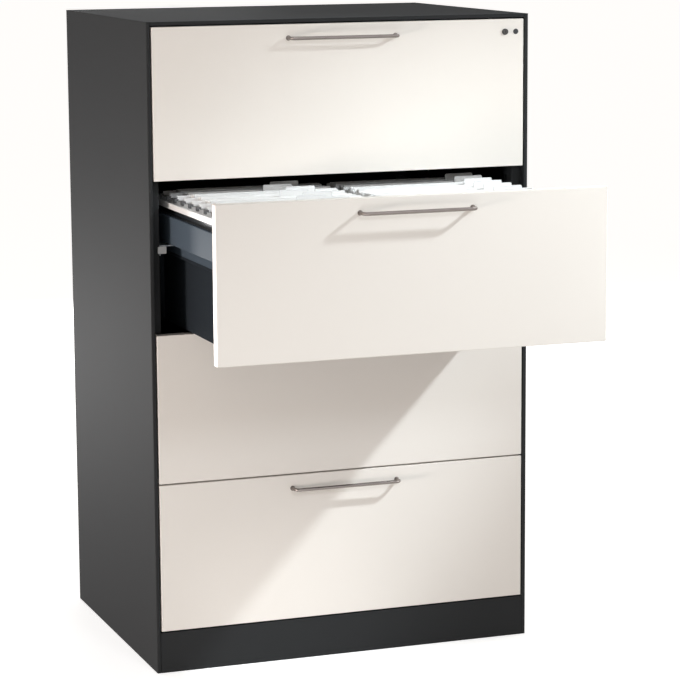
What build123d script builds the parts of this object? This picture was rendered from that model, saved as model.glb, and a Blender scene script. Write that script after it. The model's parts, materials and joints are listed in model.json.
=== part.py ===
from build123d import *
import os

os.makedirs("parts", exist_ok=True)

# Four-drawer suspension filing cabinet, in millimetres. The origin lies on the
# floor at the middle of the footprint, +Z is up and the fronts face -Y.
# Drawer 1 is the top one. Drawer 2 stands pulled out, the others are shut.

# Overall size
body_width = 800
body_depth = 617
drawer_count = 4
plinth_height = 82
front_height = 297
front_gap = 3
top_edge_height = 7
shut_drawers_above_open_count = 1
open_travel = 395

# Carcass sheet
panel_sheet = 1.0
bend_radius = 1.5
side_edge_width = 8
side_edge_return = 18
rear_flange = 15
top_flange = 14
back_flange_height = 15
top_edge_rounding = 0.8
weld_fit = 0.2

# Perforated posts that carry the rails
post_sheet = 1.2
post_setback = 22
post_width = 40
post_depth = 25
post_lip = 12
rear_post_setback = 82
slot_width = 4
slot_height = 12
slot_pitch = 50
slot_from_edge = 10

# Plinth and levelling feet
plinth_flange = 20
foot_inset = 39
foot_travel_gap = 1.5
foot_pad_diameter = 24
foot_pad_height = 6
foot_stud_diameter = 10
foot_stud_length = 56
foot_key_size = 5
foot_key_depth = 8
foot_bracket_height = 40
foot_bracket_sheet = 3
foot_bracket_width = 32
foot_boss_diameter = 18
foot_boss_height = 10
foot_hole_clearance = 0.2
foot_access_diameter = 14

# Drawer fronts: a painted pan closed by a liner
front_thickness = 20
front_side_gap = 2.5
front_sheet = 0.8
front_rounding = 1.2
liner_fit = 0.2
liner_flange = 12

# Drawer box
drawer_rear_setback = 5
drawer_sheet = 0.8
trough_bottom = 1
trough_step_below_profile = 31
trough_lip_width = 10
trough_lip_height = 6
front_seam_height = 24

# Side profiles, open below, that run over the rails
profile_sheet = 1.2
profile_width = 25.6
profile_side_gap = 19
profile_height = 55
profile_hem = 5

# Telescopic rails inside the side profiles
rail_running_gap = 0.3
middle_rail_sheet = 1.5
middle_rail_width = 20
middle_rail_height = 49
middle_rail_rear_setback = 3
fixed_head_width = 13
fixed_head_height = 12
fixed_web = 2.4
fixed_foot_sheet = 2
fixed_foot_drop = 2
fixed_bracket_height = 20
fixed_bracket_sheet = 1.5

# Moulded stops in front of the posts
stop_overhang = 13
stop_on_post = 4
stop_height = 14
stop_cap = 1.7
stop_leg_length = 22
stop_fit = 0.2

# Rails for the suspension files
hook_edge_below_top = 39
hanger_sheet = 1.2
hanger_web_height = 15
hanger_side_height = 12
hanger_hook_height = 14
hanger_overhang = 2
hanger_width = 20
hanger_foot = 7
centre_rail_width = 8
centre_rail_height = 20

# Bow handle
handle_spacing = 224
handle_below_top = 27
handle_diameter = 7
handle_stand_off = 22
handle_bend = 9
handle_collar_diameter = 10
handle_collar_height = 1.2
handle_tapping = 12
screw_end_gap = 1
screw_diameter = 4
screw_fit = 0.2
screw_head_diameter = 8
screw_head_height = 2.5
screw_access_diameter = 12

# Central lock in the top drawer
lock_from_edge = 40.7
lock_below_top = 25.5
lock_housing_diameter = 12
lock_bore_clearance = 0.2
lock_proud = 3.5
lock_rear_reach = 4
lock_shoulder_diameter = 18
lock_shoulder_height = 2
lock_rim_rounding = 0.5
lock_barrel_diameter = 9
lock_barrel_clearance = 0.1
keyway_width = 1.2
keyway_height = 6.5
keyway_depth = 15
cam_sheet = 2
cam_throw = 8.5
cam_start_angle = -45
cam_pin_diameter = 4
cam_pin_length = 7
cap_from_edge = 17
cap_diameter = 11
cap_dome = 0.8
cap_rounding = 0.6
cap_stem_diameter = 8
cap_stem_length = 5

# Lock bar inside the right front post
bar_sheet = 3
bar_width = 12
bar_from_post_front = 11.5
bar_from_post_face = 9
bar_lift = 12
arm_sheet = 2.3
arm_cam_gap = 0.5
arm_slot_length = 9
arm_slot_clearance = 0.3
arm_below_slot = 3
arm_above_slot = 4
finger_width = 6
finger_height = 6
finger_reach = 14
striker_above_hem = 16
striker_height = 14
striker_width = 16
striker_length = 8
striker_play = 1.5
striker_clearance = 2
post_slot_clearance = 1.5
guide_level = 100
guide_height = 8
guide_wall = 2
guide_clearance = 0.3

# Suspension files
file_pitch = 50
file_pocket_top = 46
file_pocket_bottom = 32
file_floor_gap = 20
file_side_gap = 6
file_paper_inset = 3
file_paper_width = 34
file_paper_rise = 13
file_bar_sheet = 2
file_bar_height = 14
file_hook_depth = 4
file_hook_clearance = 0.3
file_hook_overhang = 6

# Planes and levels that follow from the sizes above
half_width = body_width / 2
front_y = -body_depth / 2
back_y = body_depth / 2
pitch = front_height + front_gap
body_height = plinth_height + front_gap + drawer_count * pitch + top_edge_height
wall_x = half_width - panel_sheet
opening_x = half_width - side_edge_width
base_x = opening_x - weld_fit
back_inner_y = back_y - 2 * panel_sheet
front_half_width = opening_x - front_side_gap
liner_y = front_y + front_thickness
post_front_y = front_y + post_setback
post_x = wall_x - post_depth
rear_post_y = back_y - rear_post_setback
rear_post_back_y = rear_post_y + post_width
drawer_rear_y = rear_post_back_y - drawer_rear_setback
files_depth = drawer_rear_y - drawer_sheet - liner_y
file_count = int(files_depth // file_pitch)
middle_rail_rear_y = rear_post_back_y - middle_rail_rear_setback
profile_outer_x = post_x - profile_side_gap
profile_inner_x = profile_outer_x - profile_width
hook_edge = front_height - hook_edge_below_top
hanger_level = hook_edge - hanger_hook_height
profile_top = hanger_level - hanger_web_height
profile_bottom = profile_top - profile_height
trough_step_height = profile_bottom - trough_step_below_profile
centre_rail_level = hook_edge - centre_rail_height
striker_level = profile_bottom + striker_above_hem
trough_outer_x = profile_inner_x + profile_sheet + drawer_sheet - trough_lip_width
rail_axis_x = (profile_outer_x + profile_inner_x) / 2
middle_rail_top = profile_top - profile_sheet - rail_running_gap
fixed_rail_top = middle_rail_top - middle_rail_sheet - rail_running_gap
hanger_outer_x = profile_outer_x + hanger_overhang
hanger_inner_x = hanger_outer_x - hanger_width
handle_level = front_height - handle_below_top
bar_x = post_x + bar_from_post_face
bar_y = post_front_y + bar_from_post_front
lock_x = front_half_width - lock_from_edge
lock_level = front_height - lock_below_top
open_drawer_number = shut_drawers_above_open_count + 1


def block(x_low, x_high, y_low, y_high, z_low, z_high):
    """A box given by its two corners."""
    size = (x_high - x_low, y_high - y_low, z_high - z_low)
    middle = ((x_low + x_high) / 2, (y_low + y_high) / 2, (z_low + z_high) / 2)
    return Pos(*middle) * Box(*size)


def pin(x, z, diameter, y_low, y_high):
    """A round bar along Y."""
    place = Pos(x, (y_low + y_high) / 2, z) * Rot(90, 0, 0)
    return place * Cylinder(diameter / 2, y_high - y_low)


def post(x, y, diameter, z_low, z_high):
    """A round bar along Z."""
    return Pos(x, y, (z_low + z_high) / 2) * Cylinder(diameter / 2, z_high - z_low)


def upright_sheet(points, sheet, z_low, z_high):
    """A folded sheet whose section lies flat and runs along Z."""
    section = trace(FilletPolyline(*points, radius=bend_radius), line_width=sheet)
    return Pos(0, 0, z_low) * extrude(section, amount=z_high - z_low)


def level_sheet(points, sheet, y_low, y_high):
    """A folded sheet whose section stands in XZ and runs along Y."""
    section = trace(FilletPolyline(*points, radius=bend_radius), line_width=sheet)
    stand = Plane(origin=(0, y_low, 0), x_dir=(1, 0, 0), z_dir=(0, -1, 0))
    return stand * extrude(section, amount=y_low - y_high)


def mirrored(shape):
    """The same piece on the left side."""
    return mirror(shape, about=Plane.YZ)


def pair(shape):
    """A right-hand piece with its left-hand twin."""
    return Compound([shape.solid(), mirrored(shape).solid()])


def drawer_bottom(number):
    """Height of the lower edge of a drawer front."""
    return plinth_height + front_gap + (drawer_count - number) * pitch


def drawer_shift(number):
    """How far a drawer stands pulled out."""
    return open_travel if number == open_drawer_number else 0


def save(name, shape):
    export_step(shape, "parts/" + name + ".step")


# Carcass

def side_panel():
    """Right side: outer wall, folded front edge, rear and top flanges."""
    half = panel_sheet / 2
    edge_x = opening_x + half
    section = [
        (edge_x, front_y + side_edge_return),
        (edge_x, front_y + half),
        (half_width - half, front_y + half),
        (half_width - half, back_y - half),
        (half_width - rear_flange, back_y - half),
    ]
    top = body_height - panel_sheet
    wall = upright_sheet(section, panel_sheet, 0, top)
    flange_front = front_y + side_edge_return + rear_flange
    flange_back = back_y - rear_flange
    flange_x = half_width - top_flange
    flange = block(flange_x, wall_x + half, flange_front, flange_back, top - panel_sheet, top)
    return wall + flange


def top_panel():
    """Flat top with a folded front edge and a rear flange."""
    top = body_height
    under = top - panel_sheet
    edge = top - top_edge_height
    plate = block(-half_width, half_width, front_y, back_y, under, top)
    rim = plate.edges().group_by(Axis.Z)[-1]
    plate = fillet(rim, top_edge_rounding)
    edge_face = block(-base_x, base_x, front_y, front_y + panel_sheet, edge, under)
    edge_return = block(-base_x, base_x, front_y, front_y + side_edge_return, edge, edge + panel_sheet)
    flange_x = half_width - rear_flange - weld_fit
    flange_low = top - back_flange_height
    flange = block(-flange_x, flange_x, back_y - panel_sheet, back_y, flange_low, under)
    return plate + edge_face + edge_return + flange


def back_panel():
    """Flat sheet behind the drawers, welded inside the rear flanges."""
    edge_x = wall_x - bend_radius
    top = body_height - 2 * panel_sheet
    return block(-edge_x, edge_x, back_inner_y, back_y - panel_sheet, 0, top)


def foot_places():
    """Middle of each levelling foot."""
    near_x = base_x - foot_inset
    near_y = body_depth / 2 - foot_inset
    return {
        "front_left": (-near_x, -near_y),
        "front_right": (near_x, -near_y),
        "rear_left": (-near_x, near_y),
        "rear_right": (near_x, near_y),
    }


def floor_panel():
    """Cabinet floor with a key hole above each foot."""
    front = front_y + panel_sheet + weld_fit
    plate = block(-base_x, base_x, front, back_inner_y - weld_fit, plinth_height - panel_sheet, plinth_height)
    for x, y in foot_places().values():
        plate -= post(x, y, foot_access_diameter, plinth_height - 2 * panel_sheet, plinth_height + panel_sheet)
    return plate


def base_plinth():
    """One ring that the cabinet stands on, with a bracket for each foot."""
    rear = back_inner_y - weld_fit
    top = plinth_height - panel_sheet
    inner_x = base_x - panel_sheet
    ring = block(-base_x, base_x, front_y, rear, 0, top)
    ring -= block(-inner_x, inner_x, front_y + panel_sheet, rear - panel_sheet, panel_sheet, top)
    clear_x = base_x - plinth_flange
    ring -= block(-clear_x, clear_x, front_y + plinth_flange, rear - plinth_flange, 0, top)
    ring += block(-base_x, base_x, front_y, front_y + panel_sheet, top, plinth_height)
    low = foot_bracket_height
    high = low + foot_bracket_sheet
    reach = foot_boss_diameter / 2
    stud_hole = foot_stud_diameter + 2 * foot_hole_clearance
    for x, y in foot_places().values():
        side = 1 if x > 0 else -1
        ends = sorted([side * base_x, x - side * reach])
        half = foot_bracket_width / 2
        ring += block(ends[0], ends[1], y - half, y + half, low, high)
        ring += post(x, y, foot_boss_diameter, high - foot_boss_height, high)
        ring -= post(x, y, stud_hole, high - foot_boss_height, high)
    return ring


def levelling_foot(x, y):
    """Foot screw, wound in, with a key socket in its upper end."""
    pad_top = foot_travel_gap + foot_pad_height
    stud_top = pad_top + foot_stud_length
    pad = post(x, y, foot_pad_diameter, foot_travel_gap, pad_top)
    pad = chamfer(pad.edges().group_by(Axis.Z)[-1], foot_pad_height / 3)
    foot = pad + post(x, y, foot_stud_diameter, pad_top, stud_top)
    socket = Plane(origin=(x, y, stud_top - foot_key_depth)) * RegularPolygon(foot_key_size / 2, 6)
    return foot - extrude(socket, amount=foot_key_depth)


def post_section(y_front):
    """Hat section of a post, open towards the side wall."""
    half = post_sheet / 2
    y_back = y_front + post_width
    return [
        (wall_x - half, y_front - post_lip),
        (wall_x - half, y_front + half),
        (post_x + half, y_front + half),
        (post_x + half, y_back - half),
        (wall_x - half, y_back - half),
        (wall_x - half, y_back + post_lip),
    ]


def plain_post(y_front):
    """A perforated post."""
    top = body_height - top_edge_height
    channel = upright_sheet(post_section(y_front), post_sheet, plinth_height, top)
    y = y_front + post_width - slot_from_edge
    count = int((top - plinth_height) / slot_pitch)
    slots = []
    for index in range(count):
        z = plinth_height + (index + 0.5) * slot_pitch
        slots.append(cut_through_post(y - slot_width / 2, y + slot_width / 2, z - slot_height / 2, z + slot_height / 2))
    return channel - slots


def cut_through_post(y_low, y_high, z_low, z_high):
    """Material taken out of a post's inner face."""
    return block(post_x - post_sheet, post_x + 2 * post_sheet, y_low, y_high, z_low, z_high)


def lock_post():
    """Right front post with windows for the lock bar's arm and fingers."""
    channel = plain_post(post_front_y)
    clear = post_slot_clearance
    for number in range(1, drawer_count + 1):
        low = drawer_bottom(number) + finger_level()
        high = low + finger_height + bar_lift
        y_low = finger_y() - clear
        y_high = finger_y() + finger_width + clear
        channel -= cut_through_post(y_low, y_high, low - clear, high + clear)
        channel += bar_guide(drawer_bottom(number) + guide_level)
    low, high = arm_levels()
    return channel - cut_through_post(arm_y() - clear, arm_y() + arm_sheet + clear, low - clear, high + bar_lift + clear)


def bar_guide(level):
    """Block on the post's inner face that the lock bar runs through."""
    gap = guide_clearance
    wall = guide_clearance + guide_wall
    top = level + guide_height
    outer_x = bar_x + bar_sheet
    guide = block(post_x + post_sheet / 2, outer_x + wall, bar_y - wall, bar_y + bar_width + wall, level, top)
    return guide - block(bar_x - gap, outer_x + gap, bar_y - gap, bar_y + bar_width + gap, level, top)


# Lock bar and its strikers, in each drawer's own height

def striker_y():
    """Front face of the striker that the finger holds."""
    return finger_y() + finger_width + striker_play


def finger_y():
    """Front face of a finger."""
    return bar_y + (bar_width - finger_width) / 2


def finger_level():
    """Lower face of a finger with the lock open."""
    return striker_level - striker_clearance - finger_height


def cam_pin_offset():
    """Place of the cam pin from the lock's axis with the lock open."""
    arm = Vector(cam_throw, 0, 0).rotate(Axis.Z, cam_start_angle)
    return arm.X, arm.Y


def cam_y():
    """Front face of the cam."""
    return liner_y + lock_rear_reach


def arm_y():
    """Front face of the lock bar's arm."""
    return cam_y() + cam_sheet + arm_cam_gap


def slot_level():
    """Middle of the arm's slot with the lock open."""
    across, up = cam_pin_offset()
    return drawer_bottom(1) + lock_level + up


def arm_levels():
    """Lower and upper edge of the arm with the lock open."""
    half_slot = cam_pin_diameter / 2 + arm_slot_clearance
    return slot_level() - half_slot - arm_below_slot, slot_level() + half_slot + arm_above_slot


def lock_bar():
    """Flat bar with a slotted arm at the lock and a finger for each drawer."""
    low, high = arm_levels()
    across, up = cam_pin_offset()
    bottom = drawer_bottom(drawer_count) + finger_level() - finger_height
    bar = block(bar_x, bar_x + bar_sheet, bar_y, bar_y + bar_width, bottom, high)
    bar += block(bar_x, bar_x + bar_sheet, arm_y(), bar_y + bar_width, low, high)
    slot_start = lock_x + across - arm_slot_length / 2
    half_slot = cam_pin_diameter / 2 + arm_slot_clearance
    arm_start = slot_start - arm_below_slot
    bar += block(arm_start, bar_x + bar_sheet, arm_y(), arm_y() + arm_sheet, low, high)
    slot_end = slot_start + arm_slot_length + cam_throw - across
    z = slot_level()
    bar -= block(slot_start, slot_end, arm_y() - arm_sheet, arm_y() + 2 * arm_sheet, z - half_slot, z + half_slot)
    for number in range(1, drawer_count + 1):
        level = drawer_bottom(number) + finger_level()
        y = finger_y()
        bar += block(post_x - finger_reach, bar_x + bar_sheet, y, y + finger_width, level, level + finger_height)
    return bar


def striker():
    """Block on the right side profile that stops behind the lock bar's finger."""
    y = striker_y()
    top = striker_level + striker_height
    return block(profile_outer_x, profile_outer_x + striker_width, y, y + striker_length, striker_level, top)


# Rails, from the lower edge of a drawer front

def fixed_rail():
    """Right rail fixed to the posts: head, web and two brackets."""
    top = fixed_rail_top
    x = rail_axis_x
    head_half = fixed_head_width / 2
    web_half = fixed_web / 2
    foot_top = profile_bottom - fixed_foot_drop
    foot_low = foot_top - fixed_foot_sheet
    rear_end = rear_post_back_y
    rail = block(x - head_half, x + head_half, post_front_y, rear_end, top - fixed_head_height, top)
    rail = fillet(rail.edges().filter_by(Axis.Y), fixed_web / 2)
    rail += block(x - web_half, x + web_half, post_front_y, rear_end, foot_low, top - fixed_head_height)
    bracket_low = foot_top - fixed_bracket_height
    for y in (post_front_y, rear_post_y):
        rail += block(x - web_half, post_x, y, y + post_width, foot_low, foot_top)
        rail += block(post_x - fixed_bracket_sheet, post_x, y, y + post_width, bracket_low, foot_top)
    return rail


def middle_rail():
    """Right middle rail, nested between the fixed rail and the side profile."""
    half = middle_rail_sheet / 2
    outer = rail_axis_x + middle_rail_width / 2 - half
    inner = rail_axis_x - middle_rail_width / 2 + half
    top = middle_rail_top - half
    low = middle_rail_top - middle_rail_height
    section = [(outer, low), (outer, top), (inner, top), (inner, low)]
    return level_sheet(section, middle_rail_sheet, post_front_y, middle_rail_rear_y)


def rail_stop():
    """Moulded stop clipped to a post, in front of the right rail's bracket."""
    foot_low = profile_bottom - fixed_foot_drop - fixed_foot_sheet
    high = foot_low - stop_fit
    low = high - stop_height
    inner_x = post_x - stop_overhang
    cap = block(inner_x, post_x + stop_on_post, post_front_y - stop_cap, post_front_y, low, high)
    cap = fillet(cap.edges().filter_by(Axis.Y), stop_cap)
    leg_x = post_x - fixed_bracket_sheet - stop_fit
    return cap + block(inner_x, leg_x, post_front_y - stop_cap / 2, post_front_y + stop_leg_length, low + stop_cap, high)


# Drawer, from the lower edge of its front and as if shut

def screw_places():
    """Middle of each handle screw."""
    return [(-handle_spacing / 2, handle_level), (handle_spacing / 2, handle_level)]


def drawer_front(with_lock):
    """Painted pan, open at the back."""
    x = front_half_width
    pan = block(-x, x, front_y, liner_y, 0, front_height)
    face_edges = pan.edges().group_by(Axis.Y)[0]
    pan = fillet(face_edges + pan.edges().filter_by(Axis.Y), front_rounding)
    inner_x = x - front_sheet
    pan -= block(-inner_x, inner_x, front_y + front_sheet, liner_y, front_sheet, front_height - front_sheet)
    for x, z in screw_places():
        pan -= pin(x, z, screw_diameter + 2 * screw_fit, front_y - front_sheet, front_y + 2 * front_sheet)
    if with_lock:
        lock_hole = lock_housing_diameter + 2 * lock_bore_clearance
        stem_hole = cap_stem_diameter + 2 * lock_bore_clearance
        cap_x = front_half_width - cap_from_edge
        pan -= pin(lock_x, lock_level, lock_hole, front_y - front_sheet, front_y + 2 * front_sheet)
        pan -= pin(cap_x, lock_level, stem_hole, front_y - front_sheet, front_y + 2 * front_sheet)
    return pan


def front_liner(with_lock):
    """Inner pan that closes the front."""
    x = front_half_width - front_sheet - liner_fit
    low = front_sheet + liner_fit
    high = front_height - low
    pan = block(-x, x, liner_y - front_sheet - liner_flange, liner_y, low, high)
    inner_x = x - front_sheet
    inner_low = low + front_sheet
    inner_high = high - front_sheet
    front_edge = liner_y - front_sheet - liner_flange
    pan -= block(-inner_x, inner_x, front_edge, liner_y - front_sheet, inner_low, inner_high)
    for x, z in screw_places():
        pan -= pin(x, z, screw_access_diameter, liner_y - 2 * front_sheet, liner_y + front_sheet)
    if with_lock:
        lock_hole = lock_housing_diameter + 2 * lock_bore_clearance
        pan -= pin(lock_x, lock_level, lock_hole, liner_y - 2 * front_sheet, liner_y + front_sheet)
    return pan


def tray():
    """Trough with stepped sides, rear wall and front seam in one sheet."""
    half = drawer_sheet / 2
    wall = trough_outer_x - half
    lip = trough_outer_x + trough_lip_width - half
    floor = trough_bottom + half
    step = trough_step_height + half
    lip_top = trough_step_height + trough_lip_height
    right = [(wall, floor), (wall, step), (lip, step), (lip, lip_top)]
    left = [(-x, z) for x, z in reversed(right)]
    sheet = level_sheet(left + right, drawer_sheet, liner_y, drawer_rear_y)
    rear_x = profile_inner_x - weld_fit
    rear_y = drawer_rear_y - drawer_sheet
    sheet += block(-rear_x, rear_x, rear_y, drawer_rear_y, trough_bottom, centre_rail_level)
    seam_x = trough_outer_x - drawer_sheet
    seam_top = trough_bottom + front_seam_height
    return sheet + block(-seam_x, seam_x, liner_y, liner_y + drawer_sheet, trough_bottom + half, seam_top)


def side_profile():
    """Right side profile: hem, outer face, top and inner wall down to the trough."""
    half = profile_sheet / 2
    outer = profile_outer_x - half
    inner = profile_inner_x + half
    hem = profile_bottom + half
    section = [
        (outer - profile_hem, hem),
        (outer, hem),
        (outer, profile_top - half),
        (inner, profile_top - half),
        (inner, trough_step_height + drawer_sheet + bend_radius),
    ]
    return level_sheet(section, profile_sheet, liner_y, drawer_rear_y)


def hanging_rail():
    """Right rail for the file hooks, on a web above the side profile."""
    half = hanger_sheet / 2
    web_x = rail_axis_x + half
    foot = [(web_x + hanger_foot, profile_top + half), (web_x, profile_top + half), (web_x, hanger_level + half)]
    outer = hanger_outer_x - half
    inner = hanger_inner_x + half
    level = hanger_level + half
    head = [(outer, hanger_level + hanger_side_height), (outer, level), (inner, level), (inner, hook_edge)]
    web = level_sheet(foot, hanger_sheet, liner_y, drawer_rear_y)
    return web + level_sheet(head, hanger_sheet, liner_y, drawer_rear_y)


def centre_rail():
    """Channel between the two rows of files, resting on the rear wall."""
    half = hanger_sheet / 2
    x = centre_rail_width / 2 - half
    floor = centre_rail_level + half
    section = [(-x, hook_edge), (-x, floor), (x, floor), (x, hook_edge)]
    return level_sheet(section, hanger_sheet, liner_y, drawer_rear_y)


def handle():
    """Round bow with a collar at each foot, tapped from behind."""
    end = handle_spacing / 2
    bar_line = front_y - handle_stand_off
    points = [(-end, front_y), (-end, bar_line), (end, bar_line), (end, front_y)]
    route = Pos(0, 0, handle_level) * FilletPolyline(*points, radius=handle_bend)
    start = Plane(origin=(-end, front_y, handle_level), z_dir=(0, -1, 0))
    bow = sweep(start * Circle(handle_diameter / 2), path=route)
    for x, z in screw_places():
        bow += pin(x, z, handle_collar_diameter, front_y - handle_collar_height, front_y)
        bow -= pin(x, z, screw_diameter, front_y - handle_tapping, front_y)
    return bow


def handle_screws():
    """Two screws from inside the front into the handle."""
    inner_face = front_y + front_sheet
    screws = []
    for x, z in screw_places():
        shank = pin(x, z, screw_diameter - 2 * screw_fit, front_y - handle_tapping + screw_end_gap, inner_face)
        head = pin(x, z, screw_head_diameter, inner_face, inner_face + screw_head_height)
        head = chamfer(head.edges().group_by(Axis.Y)[-1], screw_head_height / 4)
        screws.append((shank + head).solid())
    return Compound(screws)


# Lock pieces

def lock_housing():
    """Sleeve of the lock with a shoulder behind the front."""
    outer = lock_housing_diameter
    rear = cam_y() - lock_barrel_clearance
    sleeve = pin(lock_x, lock_level, outer, front_y - lock_proud, rear)
    rim = sleeve.edges().group_by(Axis.Y)[0]
    sleeve = fillet(rim, lock_rim_rounding)
    inner_face = front_y + front_sheet
    shoulder_end = inner_face + lock_shoulder_height
    sleeve += pin(lock_x, lock_level, lock_shoulder_diameter, inner_face, shoulder_end)
    bore = lock_barrel_diameter + 2 * lock_barrel_clearance
    return sleeve - pin(lock_x, lock_level, bore, front_y - 2 * lock_proud, rear)


def lock_barrel():
    """Barrel that turns in the sleeve, with its keyway."""
    face = front_y - lock_proud
    barrel = pin(lock_x, lock_level, lock_barrel_diameter, face, cam_y())
    half_width_key = keyway_width / 2
    half_height_key = keyway_height / 2
    x_low = lock_x - half_width_key
    x_high = lock_x + half_width_key
    z_low = lock_level - half_height_key
    return barrel - block(x_low, x_high, face, face + keyway_depth, z_low, lock_level + half_height_key)


def lock_cam():
    """Cam behind the barrel with a pin that lifts the lock bar's arm."""
    across, up = cam_pin_offset()
    pin_x = lock_x + across
    pin_z = lock_level + up
    rear = cam_y() + cam_sheet
    cam = pin(lock_x, lock_level, lock_barrel_diameter, cam_y(), rear)
    finger = Pos(cam_throw / 2, 0, 0) * Box(cam_throw, cam_pin_diameter, cam_sheet)
    place = Pos(lock_x, cam_y() + cam_sheet / 2, lock_level) * Rot(90, 0, 0) * Rot(0, 0, cam_start_angle)
    cam += place * finger
    return cam + pin(pin_x, pin_z, cam_pin_diameter, cam_y(), rear + cam_pin_length)


def cover_cap():
    """Domed cap beside the lock."""
    x = front_half_width - cap_from_edge
    head = pin(x, lock_level, cap_diameter, front_y - cap_dome, front_y)
    head = fillet(head.edges().group_by(Axis.Y)[0], cap_rounding)
    return head + pin(x, lock_level, cap_stem_diameter, front_y, front_y + cap_stem_length)


# Suspension files, in the open drawer

def file_hook_cut(x, z):
    """Notch in a file's hook bars over the edge of a rail."""
    half = hanger_sheet / 2 + file_hook_clearance
    top = hook_edge + file_hook_clearance
    return block(x - half, x + half, -file_pitch, file_pitch, z, top)


def suspension_file():
    """One filled pocket with its two hook bars, right row, centred on Y = 0."""
    left = centre_rail_width / 2 + file_side_gap
    right = trough_outer_x - drawer_sheet - file_side_gap
    bottom = file_floor_gap
    bar_low = hook_edge - file_hook_depth
    top = bar_low + file_bar_height
    half_bottom = file_pocket_bottom / 2
    half_top = file_pocket_top / 2
    outline = Polyline((-half_bottom, bottom), (-half_top, top), (half_top, top), (half_bottom, bottom), close=True)
    side_view = Plane(origin=(left, 0, 0), x_dir=(0, 1, 0), z_dir=(1, 0, 0))
    pocket = extrude(side_view * make_face(outline), amount=right - left)
    inset = file_paper_inset
    half_paper = file_paper_width / 2
    pocket += block(left + inset, right - inset, -half_paper, half_paper, bottom + inset, top + file_paper_rise)
    centre_edge = centre_rail_width / 2 - hanger_sheet / 2
    side_edge = hanger_inner_x + hanger_sheet / 2
    bar_start = centre_edge - hanger_sheet - file_hook_clearance
    bar_end = side_edge + file_hook_overhang
    for y in (-half_top, half_top - file_bar_sheet):
        pocket += block(bar_start, bar_end, y, y + file_bar_sheet, bar_low, top)
    pocket -= file_hook_cut(centre_edge, bar_low)
    return pocket - file_hook_cut(side_edge, bar_low)


def file_row():
    """The right row of files, from just behind the front."""
    one = suspension_file()
    files = []
    for index in range(file_count):
        y = liner_y + (index + 0.5) * file_pitch
        files.append((Pos(0, y, 0) * one).solid())
    return Compound(files)


# Everything in its place

right_side = side_panel()
save("right_side_panel", right_side)
save("left_side_panel", mirrored(right_side))
save("top_panel", top_panel())
save("back_panel", back_panel())
save("floor_panel", floor_panel())
save("base_plinth", base_plinth())
for place, (foot_x, foot_y) in foot_places().items():
    save("levelling_foot_" + place, levelling_foot(foot_x, foot_y))

rear_post = plain_post(rear_post_y)
front_post = plain_post(post_front_y)
save("left_posts", Compound([mirrored(front_post).solid(), mirrored(rear_post).solid()]))
save("right_posts", Compound([lock_post().solid(), rear_post.solid()]))
save("lock_bar", lock_bar())

fixed_rails = pair(fixed_rail())
middle_rails = pair(middle_rail())
stops = pair(rail_stop())
tray_sheet = tray()
right_profile = side_profile()
profiles = Compound([right_profile.solid(), mirrored(right_profile).solid(), striker().solid()])
hanging_rails = pair(hanging_rail())
middle_hanger = centre_rail()
bow_handle = handle()
bow_screws = handle_screws()

all_stops = []
for number in range(1, drawer_count + 1):
    name = "drawer_" + str(number)
    level = Pos(0, 0, drawer_bottom(number))
    place = Pos(0, -drawer_shift(number), drawer_bottom(number))
    halfway = Pos(0, -drawer_shift(number) / 2, drawer_bottom(number))
    has_lock = number == 1
    save(name + "_front", place * drawer_front(has_lock))
    save(name + "_front_liner", place * front_liner(has_lock))
    save(name + "_tray", place * tray_sheet)
    save(name + "_side_profiles", place * profiles)
    save(name + "_hanging_rails", place * hanging_rails)
    save(name + "_centre_rail", place * middle_hanger)
    save(name + "_handle", place * bow_handle)
    save(name + "_handle_screws", place * bow_screws)
    save(name + "_middle_rails", halfway * middle_rails)
    save(name + "_fixed_rails", level * fixed_rails)
    all_stops.extend((level * stops).solids())
save("rail_stops", Compound(all_stops))

lock_place = Pos(0, 0, drawer_bottom(1))
save("lock_housing", lock_place * lock_housing())
save("lock_barrel", lock_place * lock_barrel())
save("lock_cam", lock_place * lock_cam())
save("cover_cap", lock_place * cover_cap())

file_place = Pos(0, -drawer_shift(open_drawer_number), drawer_bottom(open_drawer_number))
right_files = file_row()
save("hanging_files_right", file_place * right_files)
left_files = Compound([mirrored(one).solid() for one in right_files.solids()])
save("hanging_files_left", file_place * left_files)
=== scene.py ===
import json
import math
import random

import bpy
from mathutils import Matrix, Vector


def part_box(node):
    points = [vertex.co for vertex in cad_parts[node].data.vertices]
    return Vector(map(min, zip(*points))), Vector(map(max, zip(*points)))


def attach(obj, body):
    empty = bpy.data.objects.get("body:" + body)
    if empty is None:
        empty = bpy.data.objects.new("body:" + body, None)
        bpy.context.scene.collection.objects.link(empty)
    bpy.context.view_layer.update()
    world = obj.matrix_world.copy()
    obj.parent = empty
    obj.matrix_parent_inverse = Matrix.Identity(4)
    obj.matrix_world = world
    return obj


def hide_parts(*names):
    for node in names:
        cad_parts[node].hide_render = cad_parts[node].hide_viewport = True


# Four-drawer filing cabinet with the second drawer pulled out, in metres.
# The fronts face -Y and the floor is at Z = 0.

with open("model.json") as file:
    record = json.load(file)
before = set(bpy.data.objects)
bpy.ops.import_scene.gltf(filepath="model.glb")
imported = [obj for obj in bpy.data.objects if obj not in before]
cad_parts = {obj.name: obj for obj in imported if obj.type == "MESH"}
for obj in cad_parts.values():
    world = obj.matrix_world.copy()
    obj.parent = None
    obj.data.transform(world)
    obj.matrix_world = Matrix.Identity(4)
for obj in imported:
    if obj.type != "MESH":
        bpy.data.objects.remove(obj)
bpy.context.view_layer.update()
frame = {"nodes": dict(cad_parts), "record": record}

OPEN_DRAWER = "drawer_2"
FILES_IN_A_ROW = 10
FILE_PITCH = 0.050
SHEAVES_IN_A_FILE = 6

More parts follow.
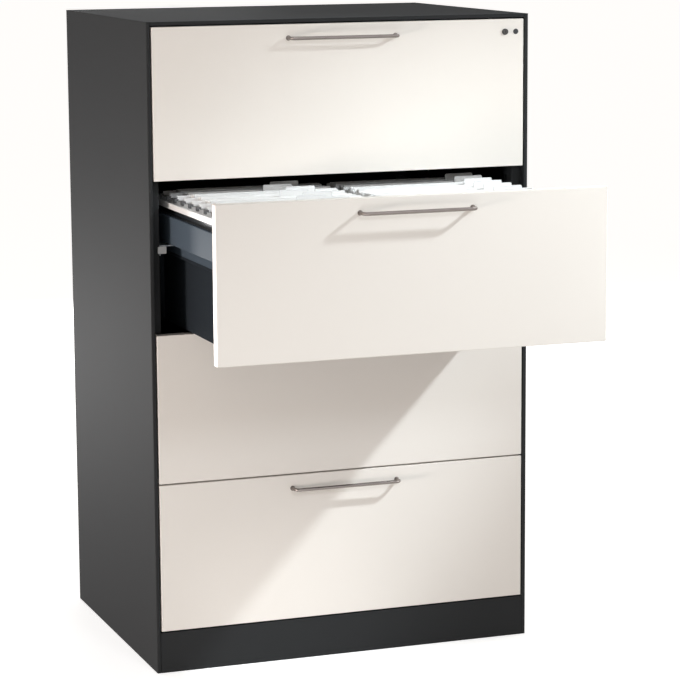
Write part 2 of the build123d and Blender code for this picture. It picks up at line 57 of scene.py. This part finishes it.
front_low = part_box("drawer_2_front")[0]
liner_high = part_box("drawer_2_front_liner")[1]
hanger_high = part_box("drawer_2_hanging_rails")[1]
centre_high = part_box("drawer_2_centre_rail")[1]
above_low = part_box("drawer_1_front")[0]
tray_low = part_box("drawer_2_tray")[0]

DRAWER_FLOOR = tray_low.z
HOOK_EDGE = centre_high.z
DRAWER_PITCH = above_low.z - front_low.z
RAIL_HEAD_LOW = HOOK_EDGE - 0.0142
HANGER_WIDTH = 0.020
HALF_HANGER_SHEET = 0.0006
FIRST_FILE_Y = liner_high.y + FILE_PITCH / 2
CARD_LEFT = 0.010
CARD_RIGHT = 0.3146
CARD_BOTTOM = DRAWER_FLOOR + 0.020
CARD_TOP = HOOK_EDGE + 0.010
CARD_HALF_TOP = 0.023
CARD_HALF_BOTTOM = 0.015
CARD_THICK = 0.0006
CARD_HEM = 0.016
FOLD_RADIUS = 0.006
PAPER_RISE = 0.004
PAPER_SPREAD = 0.006
PAPER_DEPTH = 0.0325
PAPER_FLOOR_GAP = 0.006
SHEAF_GAP = 0.0004
BAR_THICK = 0.0016
BAR_LOW = HOOK_EDGE - 0.004
HOOK_THROAT = 0.0011
HOOK_CLEARANCE = 0.0005
SIDE_TIP_LENGTH = 0.002
CENTRE_TIP_LENGTH = 0.005
TIP_OVERHANG = 0.0042
TIP_WALL = 0.0004
TIP_TOP = HOOK_EDGE + 0.0045
TAB_RISE = 0.013
TAB_HALF_WIDTH = 0.030
TAB_HALF_THICK = 0.0012
SLIP_HALF_WIDTH = 0.0275
SHADOW_SOFTNESS = 0.065
FOOT_PAD_TOP = 0.0076
FLOOR_GLOW = 0.68
TAB_PLACES_RIGHT = (0.281,)
TAB_PLACES_LEFT = (-0.128, -0.097)


# Selecting and shaping

def clear_selection():
    """Nothing is selected and nothing is in edit mode."""
    if bpy.context.object and bpy.context.object.mode != "OBJECT":
        bpy.ops.object.mode_set(mode="OBJECT")
    bpy.ops.object.select_all(action="DESELECT")


def make_active(piece):
    """Only this piece is selected and worked on."""
    clear_selection()
    piece.select_set(True)
    bpy.context.view_layer.objects.active = piece


def start_box(name, low, high):
    """A cube sized between two corners, ready to be shaped."""
    clear_selection()
    middle = [(a + b) / 2 for a, b in zip(low, high)]
    size = [b - a for a, b in zip(low, high)]
    bpy.ops.mesh.primitive_cube_add(size=1, location=middle, scale=size)
    piece = bpy.context.active_object
    piece.name = name
    bpy.ops.object.transform_apply(location=True, rotation=True, scale=True)
    return piece


def pick_faces(piece, wanted):
    """Edit mode with the faces whose middle and normal are wanted."""
    make_active(piece)
    bpy.ops.object.mode_set(mode="EDIT")
    bpy.ops.mesh.select_mode(type="FACE")
    bpy.ops.mesh.select_all(action="DESELECT")
    bpy.ops.object.mode_set(mode="OBJECT")
    for face in piece.data.polygons:
        face.select = wanted(face.center, face.normal)
    bpy.ops.object.mode_set(mode="EDIT")


def pick_edges(piece, wanted):
    """Edit mode with the edges whose two ends are wanted."""
    make_active(piece)
    bpy.ops.object.mode_set(mode="EDIT")
    bpy.ops.mesh.select_mode(type="EDGE")
    bpy.ops.mesh.select_all(action="DESELECT")
    bpy.ops.object.mode_set(mode="OBJECT")
    points = piece.data.vertices
    for edge in piece.data.edges:
        first, second = edge.vertices
        edge.select = wanted(points[first].co, points[second].co)
    bpy.ops.object.mode_set(mode="EDIT")


def done_shaping():
    bpy.ops.object.mode_set(mode="OBJECT")


def push(move):
    """Extrudes the selected faces by a move."""
    bpy.ops.mesh.extrude_region_move(TRANSFORM_OT_translate={"value": move})


def copy_at(piece, name, move):
    """A copy with its own mesh, set down at a distance."""
    twin = piece.copy()
    twin.data = piece.data.copy()
    twin.name = name
    bpy.context.collection.objects.link(twin)
    twin.data.transform(Matrix.Translation(move))
    return twin


def joined(pieces, name):
    """One object made of several."""
    clear_selection()
    for piece in pieces:
        piece.select_set(True)
    bpy.context.view_layer.objects.active = pieces[0]
    bpy.ops.object.join()
    whole = bpy.context.active_object
    whole.name = name
    return whole


def mirrored(piece, name):
    """The same piece on the left side, with its faces still outwards."""
    twin = piece.copy()
    twin.data = piece.data.copy()
    twin.name = name
    bpy.context.collection.objects.link(twin)
    twin.data.transform(Matrix.Diagonal((-1, 1, 1, 1)))
    make_active(twin)
    bpy.ops.object.mode_set(mode="EDIT")
    bpy.ops.mesh.select_all(action="SELECT")
    bpy.ops.mesh.flip_normals()
    bpy.ops.object.mode_set(mode="OBJECT")
    return twin


def with_modifier(piece, kind, **settings):
    """Adds a modifier with its settings and applies it."""
    make_active(piece)
    modifier = piece.modifiers.new(kind.lower(), kind)
    for key, value in settings.items():
        setattr(modifier, key, value)
    bpy.ops.object.modifier_apply(modifier=modifier.name)


# Finishes

def new_finish(name, colour, roughness, metallic=0.0, specular=0.5):
    """A material with plain values on its shader."""
    material = bpy.data.materials.new(name)
    material.use_nodes = True
    shader = material.node_tree.nodes["Principled BSDF"]
    shader.inputs["Base Color"].default_value = (*colour, 1)
    shader.inputs["Roughness"].default_value = roughness
    shader.inputs["Metallic"].default_value = metallic
    shader.inputs["Specular IOR Level"].default_value = specular
    return material, shader


def noise(material, scale, stretch=(1, 1, 1), detail=2.0, roughness=0.5):
    """Noise on the piece's own coordinates."""
    tree = material.node_tree
    coordinates = tree.nodes.new("ShaderNodeTexCoord")
    mapping = tree.nodes.new("ShaderNodeMapping")
    mapping.inputs["Scale"].default_value = stretch
    texture = tree.nodes.new("ShaderNodeTexNoise")
    texture.inputs["Scale"].default_value = scale
    texture.inputs["Detail"].default_value = detail
    texture.inputs["Roughness"].default_value = roughness
    tree.links.new(coordinates.outputs["Object"], mapping.inputs["Vector"])
    tree.links.new(mapping.outputs["Vector"], texture.inputs["Vector"])
    return texture.outputs["Fac"]


def ramp(material, source, low_colour, high_colour, low_at=0.3, high_at=0.7):
    """Two colours spread over a value."""
    node = material.node_tree.nodes.new("ShaderNodeValToRGB")
    node.color_ramp.elements[0].position = low_at
    node.color_ramp.elements[0].color = (*low_colour, 1)
    node.color_ramp.elements[1].position = high_at
    node.color_ramp.elements[1].color = (*high_colour, 1)
    material.node_tree.links.new(source, node.inputs["Fac"])
    return node.outputs["Color"]


def spread(material, source, low, high):
    """A value kept between two limits."""
    node = material.node_tree.nodes.new("ShaderNodeMapRange")
    node.inputs["From Min"].default_value = 0.3
    node.inputs["From Max"].default_value = 0.7
    node.inputs["To Min"].default_value = low
    node.inputs["To Max"].default_value = high
    material.node_tree.links.new(source, node.inputs["Value"])
    return node.outputs["Result"]


def bump(material, shader, source, depth, strength=0.5):
    """Raises the surface by a value."""
    node = material.node_tree.nodes.new("ShaderNodeBump")
    node.inputs["Distance"].default_value = depth
    node.inputs["Strength"].default_value = strength
    material.node_tree.links.new(source, node.inputs["Height"])
    material.node_tree.links.new(node.outputs["Normal"], shader.inputs["Normal"])


def tinted(colour, factor):
    return tuple(min(1.0, part * factor) for part in colour)


def powder_coat(name, colour, roughness, peel, specular=0.5, spread_of_tone=0.015):
    """Baked coat with a fine orange peel and a very slight change of tone."""
    material, shader = new_finish(name, colour, roughness, specular=specular)
    links = material.node_tree.links
    cloud = noise(material, 3.0, detail=3.0)
    darker = tinted(colour, 1 - spread_of_tone)
    lighter = tinted(colour, 1 + spread_of_tone)
    tone = ramp(material, cloud, darker, lighter)
    links.new(tone, shader.inputs["Base Color"])
    grains = noise(material, 900.0, detail=2.0)
    sheen = spread(material, grains, roughness - 0.02, roughness + 0.02)
    links.new(sheen, shader.inputs["Roughness"])
    bump(material, shader, grains, peel, 0.4)
    return material


def rail_head_finish():
    """White moulded head of a hanging rail above its web, which is coloured near-black as painted
    shade under the overhanging head.
    """
    white = (0.84, 0.84, 0.84)
    # Painted shade: the web below the rail head gets this near-black colour in place of the
    # shadow the overhanging head casts on it.
    dark = (0.014, 0.017, 0.021)
    material, shader = new_finish("hanging rail", white, 0.4, specular=0.3)
    tree = material.node_tree
    coordinates = tree.nodes.new("ShaderNodeTexCoord")
    split = tree.nodes.new("ShaderNodeSeparateXYZ")
    above = tree.nodes.new("ShaderNodeMath")
    above.operation = "SUBTRACT"
    above.inputs[1].default_value = RAIL_HEAD_LOW
    within = tree.nodes.new("ShaderNodeMath")
    within.operation = "FLOORED_MODULO"
    within.inputs[1].default_value = DRAWER_PITCH
    head = tree.nodes.new("ShaderNodeMath")
    head.operation = "LESS_THAN"
    head.inputs[1].default_value = DRAWER_PITCH / 2
    tree.links.new(coordinates.outputs["Object"], split.inputs["Vector"])
    tree.links.new(split.outputs["Z"], above.inputs[0])
    tree.links.new(above.outputs["Value"], within.inputs[0])
    tree.links.new(within.outputs["Value"], head.inputs[0])
    tone = ramp(material, head.outputs["Value"], dark, white, 0.4, 0.6)
    tree.links.new(tone, shader.inputs["Base Color"])
    bump(material, shader, noise(material, 900.0), 0.00002, 0.4)
    return material


def brushed_metal(name, colour, roughness, along="x"):
    """Metal with fine lines in one direction."""
    material, shader = new_finish(name, colour, roughness, metallic=1.0)
    links = material.node_tree.links
    stretch = {"x": (0.02, 1, 1), "z": (1, 1, 0.02)}[along]
    lines = noise(material, 2200.0, stretch=stretch, detail=2.0)
    broad = noise(material, 300.0, stretch=stretch, detail=2.0)
    tone = ramp(material, broad, tinted(colour, 0.93), tinted(colour, 1.07))
    links.new(tone, shader.inputs["Base Color"])
    sheen = spread(material, lines, roughness - 0.06, roughness + 0.08)
    links.new(sheen, shader.inputs["Roughness"])
    bump(material, shader, lines, 0.00003, 0.3)
    return material


def zinc_plate(name, colour):
    """Bright zinc with a faint crystal pattern."""
    material, shader = new_finish(name, colour, 0.34, metallic=1.0)
    links = material.node_tree.links
    crystals = noise(material, 160.0, detail=4.0, roughness=0.7)
    tone = ramp(material, crystals, tinted(colour, 0.88), tinted(colour, 1.08))
    links.new(tone, shader.inputs["Base Color"])
    links.new(spread(material, crystals, 0.28, 0.42), shader.inputs["Roughness"])
    bump(material, shader, noise(material, 700.0), 0.00002, 0.3)
    return material


def moulded_plastic(name, colour, roughness, soft=0.0):
    """Moulded plastic with a fine spark-eroded grain."""
    material, shader = new_finish(name, colour, roughness)
    links = material.node_tree.links
    shader.inputs["Subsurface Weight"].default_value = soft
    shader.inputs["Subsurface Radius"].default_value = (0.004, 0.004, 0.004)
    cloud = noise(material, 60.0, detail=3.0)
    tone = ramp(material, cloud, tinted(colour, 0.95), tinted(colour, 1.05))
    links.new(tone, shader.inputs["Base Color"])
    bump(material, shader, noise(material, 1500.0, detail=3.0), 0.00003, 0.5)
    return material


def foot_finish():
    """Black pad below, zinc screw above."""
    black = (0.03, 0.03, 0.03)
    zinc = (0.56, 0.57, 0.58)
    material, shader = new_finish("levelling foot", zinc, 0.4)
    tree = material.node_tree
    coordinates = tree.nodes.new("ShaderNodeTexCoord")
    split = tree.nodes.new("ShaderNodeSeparateXYZ")
    above = tree.nodes.new("ShaderNodeMath")
    above.operation = "GREATER_THAN"
    above.inputs[1].default_value = FOOT_PAD_TOP
    tree.links.new(coordinates.outputs["Object"], split.inputs["Vector"])
    tree.links.new(split.outputs["Z"], above.inputs[0])
    tone = ramp(material, above.outputs["Value"], black, zinc, 0.4, 0.6)
    tree.links.new(tone, shader.inputs["Base Color"])
    tree.links.new(above.outputs["Value"], shader.inputs["Metallic"])
    bump(material, shader, noise(material, 600.0), 0.00005, 0.4)
    return material


def file_card():
    """White card with short fibres."""
    colour = (0.90, 0.902, 0.90)
    material, shader = new_finish("file card", colour, 0.75, specular=0.2)
    links = material.node_tree.links
    fibres = noise(material, 420.0, stretch=(0.5, 1, 1), detail=5.0, roughness=0.65)
    tone = ramp(material, fibres, tinted(colour, 0.95), tinted(colour, 1.04))
    links.new(tone, shader.inputs["Base Color"])
    bump(material, shader, fibres, 0.00008, 0.5)
    return material


def paper_edges():
    """White paper whose stacked sheets show as fine lines."""
    colour = (0.91, 0.91, 0.905)
    material, shader = new_finish("paper", colour, 0.85, specular=0.15)
    links = material.node_tree.links
    sheets = noise(material, 1400.0, stretch=(0.01, 1, 0.01), detail=3.0, roughness=0.7)
    tone = ramp(material, sheets, tinted(colour, 0.86), tinted(colour, 1.05))
    links.new(tone, shader.inputs["Base Color"])
    bump(material, shader, sheets, 0.0002, 0.5)
    return material


def label_card():
    """Blank label slip in the recess of a tab."""
    colour = (0.91, 0.91, 0.90)
    material, shader = new_finish("label slip", colour, 0.8, specular=0.2)
    grain = noise(material, 800.0, detail=4.0)
    tone = ramp(material, grain, tinted(colour, 0.96), tinted(colour, 1.03))
    material.node_tree.links.new(tone, shader.inputs["Base Color"])
    bump(material, shader, grain, 0.00003, 0.3)
    return material


FINISHES = {
    "carcass_paint": powder_coat(
        "anthracite coat", (0.0345, 0.036, 0.0375), 0.63, 0.00004, specular=0.011
    ),
    "front_paint": powder_coat(
        "warm white coat", (0.86, 0.82, 0.77), 0.42, 0.00002, specular=0.3, spread_of_tone=0.006
    ),
    "drawer_paint": powder_coat(
        "dark drawer coat", (0.022, 0.027, 0.033), 0.6, 0.00003, specular=0.015
    ),
    "profile_paint": powder_coat(
        "blue grey coat", (0.070, 0.092, 0.118), 0.5, 0.00003, specular=0.012
    ),
    "hanger_paint": rail_head_finish(),
    "rail_zinc": zinc_plate("zinc rail", (0.60, 0.61, 0.63)),
    "handle_nickel": brushed_metal("brushed nickel", (0.24, 0.21, 0.195), 0.32),
    "screw_zinc": zinc_plate("zinc screw", (0.62, 0.62, 0.62)),
    "lock_black": powder_coat("black lock sleeve", (0.02, 0.02, 0.021), 0.35, 0.00002),
    "lock_metal": brushed_metal("satin lock metal", (0.10, 0.095, 0.09), 0.38, along="z"),
    "cap_plastic": moulded_plastic("black cap", (0.025, 0.025, 0.027), 0.45),
    "stop_plastic": moulded_plastic("white stop", (0.74, 0.74, 0.73), 0.4, soft=0.1),
    "foot_plastic": foot_finish(),
    "file_card": file_card(),
}


def dress_cabinet():
    """Every solid of the frame gets the finish of its own slot."""
    for row in frame["record"]["subparts"]:
        node = frame["nodes"][row["node"]]
        finish = FINISHES[row["material_slot"]]
        if not node.material_slots:
            node.data.materials.append(finish)
        for place in node.material_slots:
            place.material = finish


# Suspension files in the open drawer

def file_place(number):
    """How far a file stands behind the first one."""
    return (0, number * FILE_PITCH, 0)


def card_pocket():
    """Folded card of the first file: two flaps that lean in to a rounded fold."""
    y = FIRST_FILE_Y
    low = (CARD_LEFT, y - CARD_HALF_TOP, CARD_BOTTOM)
    high = (CARD_RIGHT, y + CARD_HALF_TOP, CARD_TOP)
    pocket = start_box("card_pocket", low, high)
    pick_faces(pocket, lambda middle, normal: normal.z < -0.5)
    share = CARD_HALF_BOTTOM / CARD_HALF_TOP
    bpy.ops.transform.resize(value=(1, share, 1), center_override=(0, y, CARD_BOTTOM))
    done_shaping()
    pick_edges(
        pocket, lambda a, b: max(a.z, b.z) < CARD_BOTTOM + 0.001 and abs(a.y - b.y) < 0.001
    )
    bpy.ops.mesh.bevel(offset=FOLD_RADIUS, segments=3, affect="EDGES")
    done_shaping()
    pick_faces(pocket, lambda middle, normal: normal.z > 0.5 or abs(normal.x) > 0.5)
    bpy.ops.mesh.delete(type="FACE")
    done_shaping()
    pick_faces(pocket, lambda middle, normal: abs(normal.y) > 0.9)
    bpy.ops.mesh.subdivide(number_cuts=7)
    done_shaping()
    pick_edges(pocket, lambda a, b: min(a.z, b.z) > CARD_TOP - 0.0005)
    bpy.ops.mesh.extrude_edges_move(TRANSFORM_OT_translate={"value": (0, 0, 0)})
    bpy.ops.transform.resize(value=(1, 0.86, 1), center_override=(0, y, CARD_TOP))
    bpy.ops.mesh.extrude_edges_move(TRANSFORM_OT_translate={"value": (0, 0, -CARD_HEM)})
    done_shaping()
    return pocket


def wavy(piece, name, strength, size):
    """Gives a piece of card or paper a slight wave across its width."""
    clouds = bpy.data.textures.new(name + " wave", type="CLOUDS")
    clouds.noise_scale = size
    with_modifier(
        piece,
        "DISPLACE",
        texture=clouds,
        texture_coords="GLOBAL",
        direction="Y",
        strength=strength,
        mid_level=0.5,
    )


def pocket_row():
    """One pocket for each file, with a little difference between them."""
    chance = random.Random(11)
    first = card_pocket()
    row = [first]
    for number in range(1, FILES_IN_A_ROW):
        row.append(copy_at(first, "card_pocket_copy", file_place(number)))
    for pocket in row:
        pocket.data.transform(Matrix.Translation((chance.uniform(-0.0008, 0.0008), 0, 0)))
    whole = joined(row, "file_pockets_right")
    wavy(whole, "card", 0.0022, 0.09)
    with_modifier(whole, "SOLIDIFY", thickness=CARD_THICK, offset=0.0)
    return whole


def paper_row():
    """Sheaves of paper in every pocket, a little out of line with each other."""
    chance = random.Random(23)
    sheaves = []
    thick = PAPER_DEPTH / SHEAVES_IN_A_FILE
    for number in range(FILES_IN_A_ROW):
        middle_y = FIRST_FILE_Y + number * FILE_PITCH
        for turn in range(SHEAVES_IN_A_FILE):
            y = middle_y - PAPER_DEPTH / 2 + turn * thick
            left = CARD_LEFT + 0.003 + chance.uniform(0, 0.0040)
            right = CARD_RIGHT - 0.001 - chance.uniform(0, 0.0035)
            top = CARD_TOP + PAPER_RISE - chance.uniform(0, PAPER_SPREAD)
            low = (left, y + SHEAF_GAP / 2, CARD_BOTTOM + PAPER_FLOOR_GAP)
            high = (right, y + thick - SHEAF_GAP / 2, top)
            sheaf = start_box("sheaf", low, high)
            pick_faces(sheaf, lambda middle, normal: normal.z < -0.5)
            fold = (0, middle_y, CARD_BOTTOM)
            bpy.ops.transform.resize(value=(1, 0.75, 1), center_override=fold)
            done_shaping()
            pick_faces(sheaf, lambda middle, normal: True)
            bpy.ops.mesh.subdivide(number_cuts=4)
            done_shaping()
            sheaves.append(sheaf)
    whole = joined(sheaves, "file_papers_right")
    wavy(whole, "paper", 0.0016, 0.07)
    with_modifier(whole, "BEVEL", width=0.0003, segments=1, limit_method="ANGLE")
    return whole


def hook_bar():
    """White bar inside the front flap of the first file, from rail to rail."""
    low = (CARD_LEFT - 0.001, bar_front(), HOOK_EDGE + HOOK_CLEARANCE)
    high = (hanger_inner_edge() - HOOK_THROAT, bar_front() + BAR_THICK, CARD_TOP - HOOK_CLEARANCE)
    bar = start_box("hook_bar", low, high)
    with_modifier(bar, "BEVEL", width=0.0003, segments=2, limit_method="ANGLE")
    return bar


def bar_front():
    """Front face of the first file's first bar."""
    return FIRST_FILE_Y - CARD_HALF_TOP + 0.0008


def hanger_inner_edge():
    """Upright leg of the right hanging rail that the hooks go over."""
    return hanger_high.x - HANGER_WIDTH + HALF_HANGER_SHEET


def hook_tip(edge, outward, length):
    """Moulded end of the first file's first bar, hooked over the edge of a rail."""
    near = edge - outward * HOOK_THROAT
    low_x, high_x = sorted((near - outward * length, near))
    y_low = bar_front() - TIP_WALL
    y_high = bar_front() + BAR_THICK + TIP_WALL
    low = (low_x, y_low, HOOK_EDGE + HOOK_CLEARANCE)
    high = (high_x, y_high, TIP_TOP)
    tip = start_box("hook_tip", low, high)
    pick_faces(tip, lambda middle, normal: normal.x * outward > 0.5)
    push((outward * 2 * HOOK_THROAT, 0, 0))
    push((outward * TIP_OVERHANG, 0, 0))
    done_shaping()
    pick_faces(
        tip, lambda middle, normal: normal.z < -0.5 and abs(middle.x - edge) > HOOK_THROAT
    )
    push((0, 0, BAR_LOW - HOOK_EDGE - HOOK_CLEARANCE))
    done_shaping()
    with_modifier(tip, "BEVEL", width=0.0006, segments=2, limit_method="ANGLE")
    return tip


def on_every_flap(piece, name):
    """Copies of a piece of the first flap on both flaps of each file of the right row."""
    across = 2 * CARD_HALF_TOP - 0.0016 - BAR_THICK
    row = [piece, copy_at(piece, name, (0, across, 0))]
    for number in range(1, FILES_IN_A_ROW):
        step = number * FILE_PITCH
        row.append(copy_at(piece, name, (0, step, 0)))
        row.append(copy_at(piece, name, (0, step + across, 0)))
    return joined(row, name)


def hook_tips():
    """The moulded tips at the side rail and at the centre rail."""
    side_tip = hook_tip(hanger_inner_edge(), 1, SIDE_TIP_LENGTH)
    centre_tip = hook_tip(centre_high.x - HALF_HANGER_SHEET, -1, CENTRE_TIP_LENGTH)
    pair = joined([side_tip, centre_tip], "hook_tips")
    return on_every_flap(pair, "file_hook_tips_right")


def label_tab():
    """Moulded tab on the first front flap, with a recess for its slip, around X = 0."""
    y = FIRST_FILE_Y - CARD_HALF_TOP + 0.0016
    top = CARD_TOP + TAB_RISE
    low = (-TAB_HALF_WIDTH, y - TAB_HALF_THICK, CARD_TOP - 0.010)
    high = (TAB_HALF_WIDTH, y + TAB_HALF_THICK, top)
    tab = start_box("label_tab", low, high)
    pick_edges(tab, lambda a, b: min(a.z, b.z) > top - 0.0005 and abs(a.x - b.x) < 0.001)
    bpy.ops.mesh.bevel(offset=0.003, segments=4, affect="EDGES")
    done_shaping()
    pick_faces(tab, lambda middle, normal: normal.y < -0.9)
    bpy.ops.mesh.inset(thickness=0.0014)
    push((0, 0.0006, 0))
    done_shaping()
    with_modifier(tab, "BEVEL", width=0.0002, segments=2, limit_method="ANGLE")
    slip_low = (-SLIP_HALF_WIDTH, y - 0.0009, CARD_TOP - 0.0075)
    slip_high = (SLIP_HALF_WIDTH, y - 0.0006, top - 0.0035)
    slip = start_box("label_slip", slip_low, slip_high)
    with_modifier(slip, "BEVEL", width=0.0001, segments=1, limit_method="ANGLE")
    return tab, slip


def label_row(piece, name, places):
    """One label on each file, stepped sideways from file to file."""
    row = []
    for number in range(FILES_IN_A_ROW):
        sideways = places[number % len(places)]
        row.append(copy_at(piece, "label_copy", (sideways, number * FILE_PITCH, 0)))
    return joined(row, name)


def place_row(piece, finish, node):
    """A part of a row of files gets its finish and stands for the row's solid."""
    piece.data.materials.clear()
    piece.data.materials.append(finish)
    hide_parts(node)
    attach(piece, OPEN_DRAWER)


def place_files():
    """Both rows of files, which stand for the two solid rows of the frame."""
    right = "hanging_files_right"
    left = "hanging_files_left"
    # Painted shade: the hook tips are coloured dark grey in place of the shaded gaps where the
    # white hooks sit over the rails.
    dark = moulded_plastic("hook tip dark as painted shade", (0.13, 0.13, 0.135), 0.45)
    white = moulded_plastic("white hook bar", (0.88, 0.88, 0.88), 0.45)
    rows = {
        "file_pockets": (pocket_row(), FINISHES["file_card"]),
        "file_papers": (paper_row(), paper_edges()),
        "file_hook_bars": (on_every_flap(hook_bar(), "file_hook_bars_right"), white),
        "file_hook_tips": (hook_tips(), dark),
    }
    for name, (piece, finish) in rows.items():
        place_row(mirrored(piece, name + "_left"), finish, left)
        place_row(piece, finish, right)
    tab, slip = label_tab()
    labels = {
        "file_tabs": (tab, moulded_plastic("milky tab", (0.89, 0.895, 0.90), 0.4)),
        "file_label_slips": (slip, label_card()),
    }
    for name, (piece, finish) in labels.items():
        place_row(label_row(piece, name + "_right", TAB_PLACES_RIGHT), finish, right)
        place_row(label_row(piece, name + "_left", TAB_PLACES_LEFT), finish, left)
        bpy.data.objects.remove(piece)


# Room, camera and light

def set_floor():
    """White floor that keeps the cabinet's shadow."""
    clear_selection()
    bpy.ops.mesh.primitive_plane_add(size=60, location=(0, 20, 0))
    floor = bpy.context.active_object
    floor.name = "floor"
    material, shader = new_finish("white floor", (0.80, 0.80, 0.80), 0.9, specular=0.0)
    tree = material.node_tree
    path = tree.nodes.new("ShaderNodeLightPath")
    seen = tree.nodes.new("ShaderNodeMath")
    seen.operation = "MAXIMUM"
    mirror = tree.nodes.new("ShaderNodeMath")
    mirror.operation = "MAXIMUM"
    glow = tree.nodes.new("ShaderNodeMath")
    glow.operation = "MULTIPLY"
    glow.inputs[1].default_value = FLOOR_GLOW
    tree.links.new(path.outputs["Is Camera Ray"], seen.inputs[0])
    tree.links.new(path.outputs["Is Glossy Ray"], seen.inputs[1])
    tree.links.new(seen.outputs["Value"], mirror.inputs[0])
    tree.links.new(path.outputs["Is Transmission Ray"], mirror.inputs[1])
    tree.links.new(mirror.outputs["Value"], glow.inputs[0])
    shader.inputs["Emission Color"].default_value = (1, 1, 1, 1)
    tree.links.new(glow.outputs["Value"], shader.inputs["Emission Strength"])
    floor.data.materials.append(material)


def set_world(glow):
    """White surroundings that light the cabinet with a dimmer, warmer glow."""
    world = bpy.data.worlds.new("white room")
    bpy.context.scene.world = world
    world.use_nodes = True
    tree = world.node_tree
    sky = tree.nodes["Background"]
    sky.inputs["Strength"].default_value = 1.0
    path = tree.nodes.new("ShaderNodeLightPath")
    seen = tree.nodes.new("ShaderNodeMath")
    seen.operation = "MAXIMUM"
    mirror = tree.nodes.new("ShaderNodeMath")
    mirror.operation = "MAXIMUM"
    shade = tree.nodes.new("ShaderNodeMix")
    shade.data_type = "RGBA"
    shade.inputs["A"].default_value = (*glow, 1)
    shade.inputs["B"].default_value = (1, 1, 1, 1)
    tree.links.new(path.outputs["Is Camera Ray"], seen.inputs[0])
    tree.links.new(path.outputs["Is Glossy Ray"], seen.inputs[1])
    tree.links.new(seen.outputs["Value"], mirror.inputs[0])
    tree.links.new(path.outputs["Is Transmission Ray"], mirror.inputs[1])
    tree.links.new(mirror.outputs["Value"], shade.inputs["Factor"])
    tree.links.new(shade.outputs["Result"], sky.inputs["Color"])


def aimed(place, target):
    """The turn that points a lamp from a place to a target."""
    return (Vector(target) - Vector(place)).to_track_quat("-Z", "Y").to_euler()


def soft_box(name, place, target, side, power, colour=(1, 1, 1)):
    """A square lamp that lights softly."""
    clear_selection()
    bpy.ops.object.light_add(type="AREA", location=place, rotation=aimed(place, target))
    lamp = bpy.context.active_object
    lamp.name = name
    lamp.data.shape = "SQUARE"
    lamp.data.size = side
    lamp.data.energy = power
    lamp.data.color = colour


def key_lamp(name, place, target, angle, power, colour):
    """A small bright lamp with a soft-edged beam."""
    clear_selection()
    bpy.ops.object.light_add(type="SPOT", location=place, rotation=aimed(place, target))
    lamp = bpy.context.active_object
    lamp.name = name
    lamp.data.spot_size = math.radians(angle)
    lamp.data.spot_blend = 1.0
    lamp.data.shadow_soft_size = SHADOW_SOFTNESS
    lamp.data.energy = power
    lamp.data.color = colour


def set_lamps():
    """Key from the upper right, low fill from the left and soft fill around."""
    aim = (0, -0.5, 0.6)
    key_place = (1.7, -1.3, 2.15)
    key_colour = (0.93, 1.01, 1.05)
    key_lamp("key_lamp", key_place, (-0.2, -0.31, 0.54), 32, 205, key_colour)
    key_lamp("low_key_lamp", key_place, (-0.12, -0.31, 0.06), 12, 46, key_colour)
    key_lamp("files_lamp", (-0.1, -0.42, 2.2), (-0.1, -0.44, 0.94), 46, 8, key_colour)
    key_lamp("corner_lamp", (-0.9, -2.4, 0.25), (-0.13, -0.31, 0.06), 15, 18, (1.02, 0.99, 0.97))
    soft_box("left_low_lamp", (-4, -1.5, 0.15), aim, 0.8, 129, (1.08, 0.96, 0.90))
    soft_box("front_low_lamp", (-0.4, -2.0, 0.16), aim, 0.6, 3.4)
    soft_box("front_high_lamp", (0.4, -5.0, 3.0), aim, 0.8, 31, (0.94, 1.03, 1.10))
    soft_box("rear_left_lamp", (-1.2, 2.3, 0.22), (-0.4, 0, 0.62), 0.4, 34)
    soft_box("right_side_lamp", (4.5, 1.0, 0.9), (0.4, 0, 0.7), 1.2, 60)
    soft_box("rear_lamp", (0.8, 4.5, 1.0), (0, 0.3, 0.7), 1.2, 60)


def set_camera():
    """The photograph's viewpoint: left of the front and a little above."""
    clear_selection()
    bpy.ops.object.camera_add(location=(-1.791, -5.195, 1.530))
    camera = bpy.context.active_object
    yaw = math.radians(20.04)
    pitch = math.radians(-9.6)
    roll = math.radians(-0.37)
    reach = math.cos(pitch)
    ahead = Vector((math.sin(yaw) * reach, math.cos(yaw) * reach, math.sin(pitch)))
    level = Vector((math.cos(yaw), -math.sin(yaw), 0))
    upright = level.cross(ahead)
    right = level * math.cos(roll) + upright * math.sin(roll)
    up = upright * math.cos(roll) - level * math.sin(roll)
    turn = Matrix((right, up, -ahead)).transposed()
    camera.rotation_mode = "QUATERNION"
    camera.rotation_quaternion = turn.to_quaternion()
    camera.data.sensor_width = 36
    camera.data.lens = 139.34
    camera.data.clip_end = 200
    bpy.context.scene.camera = camera


set_camera()
dress_cabinet()
place_files()
set_floor()
set_world((0.408, 0.380, 0.354))
set_lamps()
bpy.context.scene.view_settings.view_transform = "Standard"
